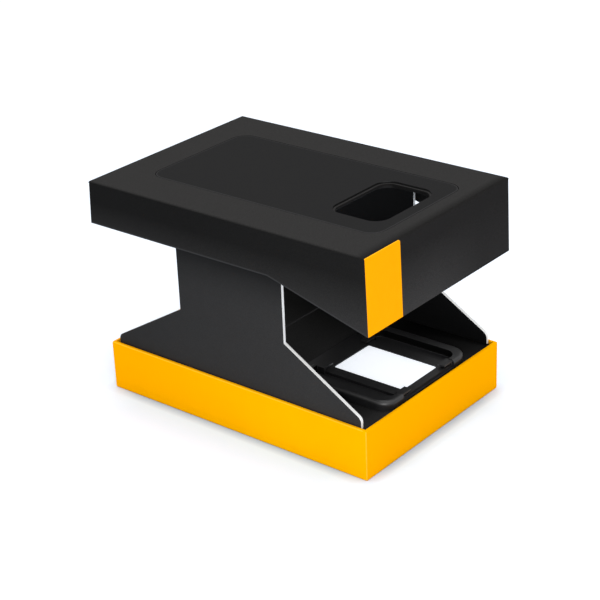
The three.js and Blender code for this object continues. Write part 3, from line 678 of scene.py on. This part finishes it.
def black_plastic(name, highlight_above=None):
    """Satin moulding with fine draw lines along its length, and a painted highlight on its rounded edges."""
    finish = Finish(name, Specular_IOR_Level=0.45)
    lines = finish.noise(scale=300, place=finish.stretched(9, 0.5, 4))
    spark = finish.noise(scale=3800, detail=1)
    smudge = finish.noise(scale=60)
    # Painted highlight on the rounded edges, only above the given height if there is one
    edge_highlight = finish.edges(0.02, 0.25) * 0.8
    if highlight_above:
        edge_highlight = edge_highlight * finish.along("Z").ramp(highlight_above, highlight_above + 0.0006)
    tone = finish.blended(lines, TRAY_DARK, TRAY_LIGHT)
    finish.surface(Base_Color=finish.blended(edge_highlight, tone, TRAY_EDGE_HIGHLIGHT),
                   Roughness=0.26 + lines * 0.14 + smudge * 0.12,
                   Normal=finish.bumped(lines * 0.5 + spark, depth=0.000008, strength=0.6))
    return finish


def pocket_shade():
    """Painted shade for the inner walls of the film tray's rims: near-black and dull."""
    finish = Finish("pocket painted shade", Specular_IOR_Level=0.05)
    grain = finish.noise(scale=1800, detail=2)
    finish.surface(Base_Color=finish.blended(grain, POCKET_SHADE_DARK, POCKET_SHADE_LIGHT),
                   Roughness=0.55 + grain * 0.14,
                   Normal=finish.bumped(grain, depth=0.00001, strength=0.6))
    return finish


def moulded_plastic(name, dark, light, roughness):
    finish = Finish(name, Specular_IOR_Level=0.5)
    grain = finish.noise(scale=1800, detail=2)
    smudge = finish.noise(scale=50)
    finish.surface(Base_Color=finish.blended(smudge, dark, light),
                   Roughness=roughness + smudge * 0.14,
                   Normal=finish.bumped(grain, depth=0.00001, strength=0.6))
    return finish


def milky_window():
    """Opal plate with a painted glow standing in for the lamps' light from below, with faint clouds in its
    glow.
    """
    finish = Finish("milky window", Roughness=0.25, Emission_Strength=0.5)
    cloud = finish.noise(scale=70, detail=2)
    grain = finish.noise(scale=900, detail=2)
    finish.surface(Base_Color=finish.blended(cloud, OPAL_DARK, OPAL_LIGHT),
                   Emission_Color=finish.blended(cloud, OPAL_GLOW_DARK, OPAL_GLOW_LIGHT),
                   Normal=finish.bumped(grain, depth=0.000006, strength=0.4))
    return finish


def soft_pad(low, high):
    """Matt pad with a painted highlight along its outline and on its rounded edges."""
    finish = Finish("soft pad", Specular_IOR_Level=0.08)
    pores = finish.cells(scale=1700)
    mottle = finish.noise(scale=140)
    middle = (low + high) / 2
    past_x = (finish.along("X") - middle.x).size() - (high.x - middle.x - PAD_CORNER)
    past_y = (finish.along("Y") - middle.y).size() - (high.y - middle.y - PAD_CORNER)
    # Painted highlight along the outline
    outline_highlight = past_x.past_corner(past_y).ramp(PAD_CORNER - 0.0007, PAD_CORNER - 0.0004)
    tone = finish.blended(mottle, PAD_DARK, PAD_LIGHT)
    tone = finish.blended(outline_highlight * 0.35, tone, BLACK_EDGE_HIGHLIGHT)
    finish.surface(Base_Color=finish.blended(finish.edges() * 0.5, tone, PAD_EDGE_HIGHLIGHT),
                   Roughness=0.68 + mottle * 0.16,
                   Normal=finish.bumped(pores, depth=0.00003, strength=0.7))
    return finish


def circuit_board():
    finish = Finish("circuit board", Specular_IOR_Level=0.5)
    tracks = finish.cells(scale=420).ramp(0.42, 0.45)
    mask = finish.noise(scale=90, detail=2)
    green = finish.blended(mask, CIRCUIT_DARK, CIRCUIT_LIGHT)
    finish.surface(Base_Color=finish.blended(tracks, green, CIRCUIT_TRACK),
                   Roughness=0.3 + mask * 0.2,
                   Normal=finish.bumped(tracks, depth=0.00003))
    return finish


def lamp_face():
    finish = Finish("lamp face", Roughness=0.35, Emission_Strength=1.5)
    grain = finish.noise(scale=900, detail=2)
    finish.surface(Base_Color=finish.blended(grain, LAMP_DARK, LAMP_LIGHT),
                   Emission_Color=finish.blended(grain, LAMP_GLOW_COOL, LAMP_GLOW_WARM))
    return finish


def spring_steel():
    finish = Finish("spring steel", Metallic=1.0)
    brushed = finish.noise(scale=500, place=finish.stretched(1, 8, 1))
    finish.surface(Base_Color=finish.blended(brushed, STEEL_DARK, STEEL_LIGHT),
                   Roughness=0.22 + brushed * 0.2,
                   Normal=finish.bumped(brushed, depth=0.00001, strength=0.5))
    return finish


def cell_jacket(end_x):
    """Plain sleeve of a cell, with bare metal ends."""
    finish = Finish("cell jacket")
    metal = (finish.along("X").size() - end_x).ramp(-0.0001, 0.0001)
    sheen = finish.noise(scale=120)
    sleeve = finish.blended(sheen, CELL_DARK, CELL_LIGHT)
    finish.surface(Base_Color=finish.blended(metal, sleeve, CELL_METAL),
                   Metallic=metal, Roughness=0.28 + sheen * 0.16,
                   Normal=finish.bumped(sheen, depth=0.00002, strength=0.3))
    return finish


def lead_jacket(name, dark, light):
    finish = Finish(name)
    wave = finish.noise(scale=700, detail=2)
    finish.surface(Base_Color=finish.blended(wave, dark, light), Roughness=0.35 + wave * 0.15,
                   Normal=finish.bumped(wave, depth=0.00001, strength=0.4))
    return finish


def studio_paper(base_corner):
    """Pale paper with a painted contact shadow round the base, bluish so that the light off the yellow walls
    leaves it grey, and weaker by the base's corners.
    """
    paper = Finish("studio paper", Roughness=0.9, Specular_IOR_Level=0.1)
    past_x = paper.along("X").size() - base_corner.x
    past_y = paper.along("Y").size() - base_corner.y
    away = past_x.past_corner(past_y)
    by_corner = past_x.lesser_of(past_y).ramp(-0.016, 0.004)
    # Share of the painted contact shadow, fading out away from the base and by its corners
    painted_shadow_share = (1.0 - away.ramp(0.006, 0.018)) * (1.0 - by_corner * 0.85)
    tone = paper.blended(paper.noise(scale=4), PAPER_DARK, PAPER_LIGHT)
    tone = paper.blended(away.ramp(0.2, 0.7), tone, PAPER_FAR)
    painted_shadow = paper.blended(away.ramp(0.001, 0.005), PAPER_CONTACT_SHADOW, PAPER_SHADOW_FRINGE)
    paper.surface(Base_Color=paper.blended(painted_shadow_share, tone, painted_shadow))
    return paper


# Pieces of the base

def base_tray():
    """Folded board box with the ways in for the bay and the switch, and a dip in its rear wall."""
    low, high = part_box("base_tray")
    piece = block("base_box", low, high)
    with Shaping(piece) as shaping:
        shaping.pick_faces(faces_up)
        shaping.inset(BASE_WALL)
        shaping.extrude(BASE_WALL - high.z)
        shaping.pick_edges(lambda place, along: abs(place.x) > high.x - WELD or abs(place.y) > high.y - WELD
                           or place.z < low.z + WELD)
        shaping.round_off(BASE_FOLD, steps=4)
    cut(piece, bay_cutter(), switch_cutter(high.y), dip_cutter(high))
    soften(piece, THIN_SOFTENING)
    return piece


def bay_cutter():
    """The way in for the bay's frame, which fills it with a clearance."""
    low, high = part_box("battery_bay")
    return block("bay_way", (low.x + BAY_LIP - CLEARANCE, low.y + BAY_LIP - CLEARANCE, -OVERRUN),
                 (high.x - BAY_LIP + CLEARANCE, high.y - BAY_LIP + CLEARANCE, OVERRUN / 2))


def switch_cutter(wall_y):
    """The way in for the switch's frame, whose flange lies on the wall."""
    low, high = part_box("switch_bezel")
    return block("switch_way",
                 (low.x + BEZEL_FLANGE - CLEARANCE, wall_y - OVERRUN, low.z + BEZEL_FLANGE - CLEARANCE),
                 (high.x - BEZEL_FLANGE + CLEARANCE, wall_y + OVERRUN, high.z - BEZEL_FLANGE + CLEARANCE))


def dip_cutter(high):
    """The shallow dip in the rear wall's upper edge."""
    cutter = block("dip", (-DIP_HALF, high.y - BASE_WALL - CLEARANCE, high.z - DIP_DEPTH),
                   (DIP_HALF, high.y + OVERRUN, high.z))
    with Shaping(cutter) as shaping:
        shaping.pick_faces(faces_up)
        shaping.extrude(OVERRUN)
        shaping.pick_faces(faces_down)
        shaping.stretch(x=1 - DIP_SLOPE / DIP_HALF)
    return cutter


def side_panel(node, name):
    """A panel with a wide foot, whose sides slope in from the shoulders to the knees below the neck."""
    low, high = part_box(node)
    base_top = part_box("base_tray")[1].z
    shoulder_z = base_top + FOOT_RISE
    knee_z = base_top + KNEE_RISE
    piece = block(name, (low.x, -NECK_HALF, knee_z), (high.x, NECK_HALF, high.z))
    with Shaping(piece) as shaping:
        shaping.pick_faces(faces_down)
        shaping.extrude(shoulder_z - knee_z)
        shaping.stretch(y=high.y / NECK_HALF)
        shaping.extrude(low.z - shoulder_z)
        for level, radius in ((high.z, NECK_CORNER), (knee_z, KNEE_CORNER), (shoulder_z, FOOT_CORNER)):
            shaping.pick_edges(lambda place, along: abs(along.x) > STRAIGHT and abs(place.z - level) < WELD)
            shaping.round_off(radius)
        shaping.pick_edges(lambda place, along: abs(along.y) > STRAIGHT and place.z < low.z + WELD)
        shaping.round_off(BEAD_RADIUS)
    soften(piece, PANEL_SOFTENING)
    return piece


def paint_cut_edges(panel, bead_top):
    """Gives the second finish to the cut faces: not to the two sides, nor to the bead's underside."""
    for face in panel.data.polygons:
        on_side = abs(face.normal.x) >= SLIGHTLY_LEANING
        on_bead = face.normal.z < -LEANING and face.center.z < bead_top
        if not on_side and not on_bead:
            face.material_index = 1


# Pieces of the platform

def platform_shell():
    """The folded lid: sloping lower edges, leaning end walls, rounded folds and a recess for the pad."""
    low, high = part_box("platform_lid")
    top_y = high.y - END_LEAN
    kink_y = low.y + END_LEAN + SLOPE_RUN
    piece = block("platform_shell", low, high)
    with Shaping(piece) as shaping:
        shaping.split_across(kink_y)
        shaping.pick_points(lambda co: co.z < low.z + WELD and co.y > kink_y - WELD)
        shaping.move(z=FRONT_DEPTH - REAR_DEPTH)
        for end in (-1, 1):
            shaping.pick_points(lambda co: co.z > high.z - WELD and co.y * end > high.y - WELD)
            shaping.move(y=-end * END_LEAN)
        shaping.pick_faces(lambda place, facing: facing.z < -LEANING)
        bpy.ops.mesh.delete(type="FACE")
        shaping.pick_edges(lambda place, along: place.z > high.z - WELD and abs(along.z) < LEANING
                           and (abs(place.x) > high.x - WELD or abs(place.y) > top_y - WELD))
        shaping.round_off(TOP_FOLD)
        shaping.pick_edges(lambda place, along: abs(along.z) > STRAIGHT and abs(place.x) > high.x - WELD
                           and abs(place.y) > top_y - WELD)
        shaping.round_off(SIDE_FOLD, steps=3)
        shaping.turn_outwards()
    finish_with(piece, "SOLIDIFY", thickness=BOARD, offset=-1, use_even_offset=True)
    cut(piece, pad_cutter(high.z), aperture_cutter(high.z))
    soften(piece, LID_SOFTENING)
    return piece


def pad_cutter(top_z):
    """The recess that holds the pad with a gap all round."""
    low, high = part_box("grip_pad")
    gap = Vector((PAD_GAP, PAD_GAP, PAD_GAP))
    return rounded_block("recess", low - gap, (high.x + PAD_GAP, high.y + PAD_GAP, top_z + OVERRUN),
                         PAD_CORNER + PAD_GAP)


def window_middle():
    low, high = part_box("diffuser_plate")
    return (low.y + high.y) / 2


def aperture_cutter(top_z, step=0):
    """The opening over the window, wider all round by the step."""
    middle = window_middle()
    half_x = APERTURE_WIDTH / 2 + step
    half_y = APERTURE_DEPTH / 2 + step
    return rounded_block("aperture", (-half_x, middle - half_y, top_z - OVERRUN),
                         (half_x, middle + half_y, top_z + OVERRUN), APERTURE_CORNER + step)


def grip_pad():
    """Thin pad with an opening a little wider than the lid's."""
    low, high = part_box("grip_pad")
    piece = rounded_block("camera_pad", low, high, PAD_CORNER)
    cut(piece, aperture_cutter(high.z, APERTURE_STEP))
    soften(piece, THIN_SOFTENING)
    return piece


# Film tray and window

def tray_underside():
    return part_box("front_deck")[1].z + CLEARANCE


def plateau_top():
    return tray_underside() + TRAY_FLOOR


def stage_top():
    return plateau_top() + STAGE_RISE


def film_tray():
    """Plate with rims, a raised stage with four hooks, and a skirt and a window through the deck."""
    low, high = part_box("film_tray")
    underside = tray_underside()
    plateau = plateau_top()
    middle = window_middle()
    piece = rounded_block("film_guide", (low.x, low.y, underside), (high.x, high.y, plateau), RIM_CORNER)
    join_on(piece, tray_rims())
    stage_block = block("stage", (-STAGE_HALF, low.y + STAGE_END_INSET, underside),
                        (STAGE_HALF, high.y - STAGE_END_INSET, stage_top()))
    skirt = block("skirt", (-SKIRT_HALF_WIDTH, middle - SKIRT_HALF_LENGTH, low.z),
                  (SKIRT_HALF_WIDTH, middle + SKIRT_HALF_LENGTH, plateau))
    join_on(piece, stage_block, skirt)
    well = block("well",
                 (TRAY_WALL - SKIRT_HALF_WIDTH, middle - SKIRT_HALF_LENGTH + TRAY_WALL, low.z - OVERRUN),
                 (SKIRT_HALF_WIDTH - TRAY_WALL, middle + SKIRT_HALF_LENGTH - TRAY_WALL, plateau))
    window = rounded_block("window", (-WINDOW_WIDTH / 2, middle - WINDOW_LENGTH / 2, low.z),
                           (WINDOW_WIDTH / 2, middle + WINDOW_LENGTH / 2, high.z + OVERRUN), WINDOW_CORNER)
    cut(piece, well, window)
    hook_distance = (WINDOW_LENGTH + HOOK_LENGTH) / 2 + HOOK_GAP
    for side in (-1, 1):
        for end in (-1, 1):
            join_on(piece, *film_hook(side, middle + end * hook_distance))
    merge_faces(piece)
    soften(piece, TRAY_SOFTENING, angle=30)
    return piece


def tray_rims():
    """The rims, rounded on top, with the pocket between them and a channel through both ends."""
    low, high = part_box("film_tray")
    rear = high.y - TRAY_TAIL
    above = high.z + OVERRUN
    rims = rounded_block("rims", (low.x, low.y, tray_underside()), (high.x, rear, high.z),
                         RIM_CORNER, top_round=RIM_ROUND)
    pocket = rounded_block("pocket", (-POCKET_HALF, low.y + RIM_END_WIDTH, plateau_top()),
                           (POCKET_HALF, rear - RIM_END_WIDTH, above),
                           RIM_INNER_CORNER, bottom_round=POCKET_ROUND)
    channel = block("channel", (-MOUTH_HALF, low.y - OVERRUN, plateau_top()),
                    (MOUTH_HALF, high.y + OVERRUN, above))
    cut(rims, pocket, channel)
    return rims


def film_hook(side, y):
    """A post beside the channel, and the lip that it holds over the stage."""
    inner = FILM_WIDTH / 2 + CLEARANCE
    outer = inner + HOOK_POST
    top = stage_top() + FILM_THICKNESS + HOOK_THICKNESS
    parts = []
    for name, tip, bottom in (("post", inner, tray_underside()),
                              ("lip", inner - HOOK_REACH, top - HOOK_THICKNESS)):
        left, right = sorted((side * tip, side * outer))
        parts.append(block(name, (left, y - HOOK_LENGTH / 2, bottom), (right, y + HOOK_LENGTH / 2, top)))
    return parts


def paint_rim_shade(tray):
    """Gives the second finish, the painted shade, to the rims' inner walls."""
    low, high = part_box("film_tray")
    front = low.y + RIM_END_WIDTH
    rear = high.y - TRAY_TAIL - RIM_END_WIDTH
    for face in tray.data.polygons:
        place, facing = face.center, face.normal
        inside = (STAGE_HALF + WELD < abs(place.x) < POCKET_HALF + WELD
                  and front - WELD < place.y < rear + WELD and plateau_top() < place.z < high.z)
        is_wall = place.x * facing.x < WELD and abs(facing.z) < NEARLY_STRAIGHT
        if inside and is_wall:
            face.material_index = 1


def window_plate():
    """A flange under the tray, and the raised plate that fills the tray's window."""
    low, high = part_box("diffuser_plate")
    half_width = WINDOW_WIDTH / 2 - CLEARANCE
    half_length = WINDOW_LENGTH / 2 - CLEARANCE
    middle = window_middle()
    piece = block("window_plate", low, (high.x, high.y, low.z + WINDOW_FLANGE))
    join_on(piece, rounded_block("raised", (-half_width, middle - half_length, low.z),
                                 (half_width, middle + half_length, high.z), WINDOW_CORNER))
    soften(piece, WINDOW_SOFTENING, steps=3)
    return piece


# Assembly

def dress(piece, node, body, slot, *finishes):
    """Gives a new piece its finishes and its body, in place of the CAD node; the slot is not used."""
    piece.data.materials.clear()
    for finish in finishes:
        piece.data.materials.append(finish.material)
    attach(piece, body)
    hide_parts(node)


def make_finishes():
    """The finish of each slot in the record, and the finishes of single pieces."""
    lid_low, lid_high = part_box("platform_lid")
    cover_z = lid_high.z - REAR_DEPTH
    return {
        "black_board": black_board(),
        "yellow_board": yellow_board(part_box("base_tray")[0]),
        "black_plastic": black_plastic("black plastic"),
        "grey_plastic": moulded_plastic("grey plastic", GREY_DARK, GREY_LIGHT, roughness=0.38),
        "white_plastic": moulded_plastic("white plastic", WHITE_DARK, WHITE_LIGHT, roughness=0.4),
        "milky_plastic": milky_window(),
        "soft_pad": soft_pad(*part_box("grip_pad")),
        "circuit_board": circuit_board(),
        "lamp": lamp_face(),
        "steel": spring_steel(),
        "cell_jacket": cell_jacket(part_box("front_cell")[1].x - CELL_CAP),
        "lead_red": lead_jacket("red lead", RED_DARK, RED_LIGHT),
        "lead_black": lead_jacket("black lead", grey(0.01), grey(0.02)),
        "deck": deck_board(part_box("front_deck")[1].y + CLEARANCE / 2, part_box("film_tray")[1].y),
        "left panel": panel_board("left panel board", 1, cover_z),
        "right panel": panel_board("right panel board", -1, cover_z),
        "cut edge": cut_edge(),
        "platform": platform_board(lid_low.y, lid_low.x, lid_high.z),
        "tray": black_plastic("tray plastic", highlight_above=stage_top() + TRAY_SOFTENING),
        "tray pocket shade": pocket_shade(),
    }


def build_base(finishes):
    dress(base_tray(), "base_tray", "base", "yellow_board", finishes["yellow_board"])
    tray = film_tray()
    dress(tray, "film_tray", "base", "black_plastic", finishes["tray"], finishes["tray pocket shade"])
    paint_rim_shade(tray)
    dress(window_plate(), "diffuser_plate", "base", "milky_plastic", finishes["milky_plastic"])
    for part in ("front", "rear"):
        board = softened_copy(part + "_deck", "deck_" + part + "_board", THIN_SOFTENING)
        dress(board, part + "_deck", "base", "black_board", finishes["deck"])


def build_side_panels(finishes):
    for side in ("left", "right"):
        node = side + "_side_panel"
        panel = side_panel(node, side + "_board_panel")
        dress(panel, node, side + "_flap", "black_board", finishes[side + " panel"], finishes["cut edge"])
        paint_cut_edges(panel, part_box(node)[0].z + BOARD)


def build_platform(finishes):
    dress(platform_shell(), "platform_lid", "platform", "black_board", finishes["platform"])
    dress(grip_pad(), "grip_pad", "platform", "soft_pad", finishes["soft_pad"])
    for node in ("left_liner", "right_liner", "roof_stiffener", "front_left_tab", "front_right_tab",
                 "rear_left_tab", "rear_right_tab"):
        dress(softened_copy(node, node + "_board"), node, "platform", "black_board", finishes["black_board"])


def build_small_mouldings(finishes):
    door = softened_copy("battery_door", "bay_door", DOOR_SOFTENING)
    switch_frame = softened_copy("switch_bezel", "switch_frame", steps=3)
    slider = softened_copy("power_switch", "switch_slider", steps=3)
    dress(door, "battery_door", "battery_cover", "black_plastic", finishes["black_plastic"])
    dress(switch_frame, "switch_bezel", "base", "grey_plastic", finishes["grey_plastic"])
    dress(slider, "power_switch", "switch_knob", "black_plastic", finishes["black_plastic"])


def finish_cad_nodes(finishes):
    """Gives each CAD node the finish of its slot in the record."""
    for row in frame["record"]["subparts"]:
        node = frame["nodes"][row["node"]]
        node.data.materials.clear()
        node.data.materials.append(finishes[row["material_slot"]].material)


# Camera and studio

def camera():
    """A camera that looks along the azimuth from Y towards X, turned down and rolled."""
    data = bpy.data.cameras.new("camera")
    data.sensor_width = SENSOR_WIDTH
    data.lens = CAMERA_LENS
    forward = Vector((math.sin(LOOK_AZIMUTH) * math.cos(LOOK_DOWN),
                      math.cos(LOOK_AZIMUTH) * math.cos(LOOK_DOWN), -math.sin(LOOK_DOWN)))
    level = forward.cross(Vector((0, 0, 1))).normalized()
    rise = level.cross(forward)
    right = level * math.cos(LOOK_ROLL) + rise * math.sin(LOOK_ROLL)
    turned = Matrix((right, right.cross(forward), -forward)).transposed()
    viewer = bpy.data.objects.new("camera", data)
    viewer.matrix_world = Matrix.Translation(CAMERA_PLACE) @ turned.to_4x4()
    bpy.context.collection.objects.link(viewer)
    bpy.context.scene.camera = viewer


def soft_lamp(name, place, target, width, power):
    data = bpy.data.lights.new(name, "AREA")
    data.shape = "SQUARE"
    data.size = width
    data.energy = power
    lamp = bpy.data.objects.new(name, data)
    lamp.visible_camera = False
    aim = Vector(target) - Vector(place)
    lamp.matrix_world = Matrix.Translation(place) @ aim.to_track_quat("-Z", "Y").to_matrix().to_4x4()
    bpy.context.collection.objects.link(lamp)


def studio():
    bpy.context.scene.view_settings.view_transform = "Standard"
    world = bpy.data.worlds.new("studio")
    bpy.context.scene.world = world
    world.use_nodes = True
    background = world.node_tree.nodes["Background"]
    background.inputs["Color"].default_value = grey(1.0)
    background.inputs["Strength"].default_value = WORLD_LIGHT
    floor = block("floor", (-FLOOR_HALF, -FLOOR_HALF, -FLOOR_DEPTH), (FLOOR_HALF, FLOOR_HALF, 0))
    floor.data.materials.append(studio_paper(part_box("base_tray")[1]).material)
    soft_lamp("overhead", place=(0, 0, 2.2), target=(0, 0, 0), width=1.5, power=49)
    soft_lamp("near front left", place=(-0.56, -0.52, 0.30), target=(0, -0.03, 0.05), width=0.3, power=2.4)


camera()
studio()
finishes = make_finishes()
build_base(finishes)
build_side_panels(finishes)
build_platform(finishes)
build_small_mouldings(finishes)
finish_cad_nodes(finishes)
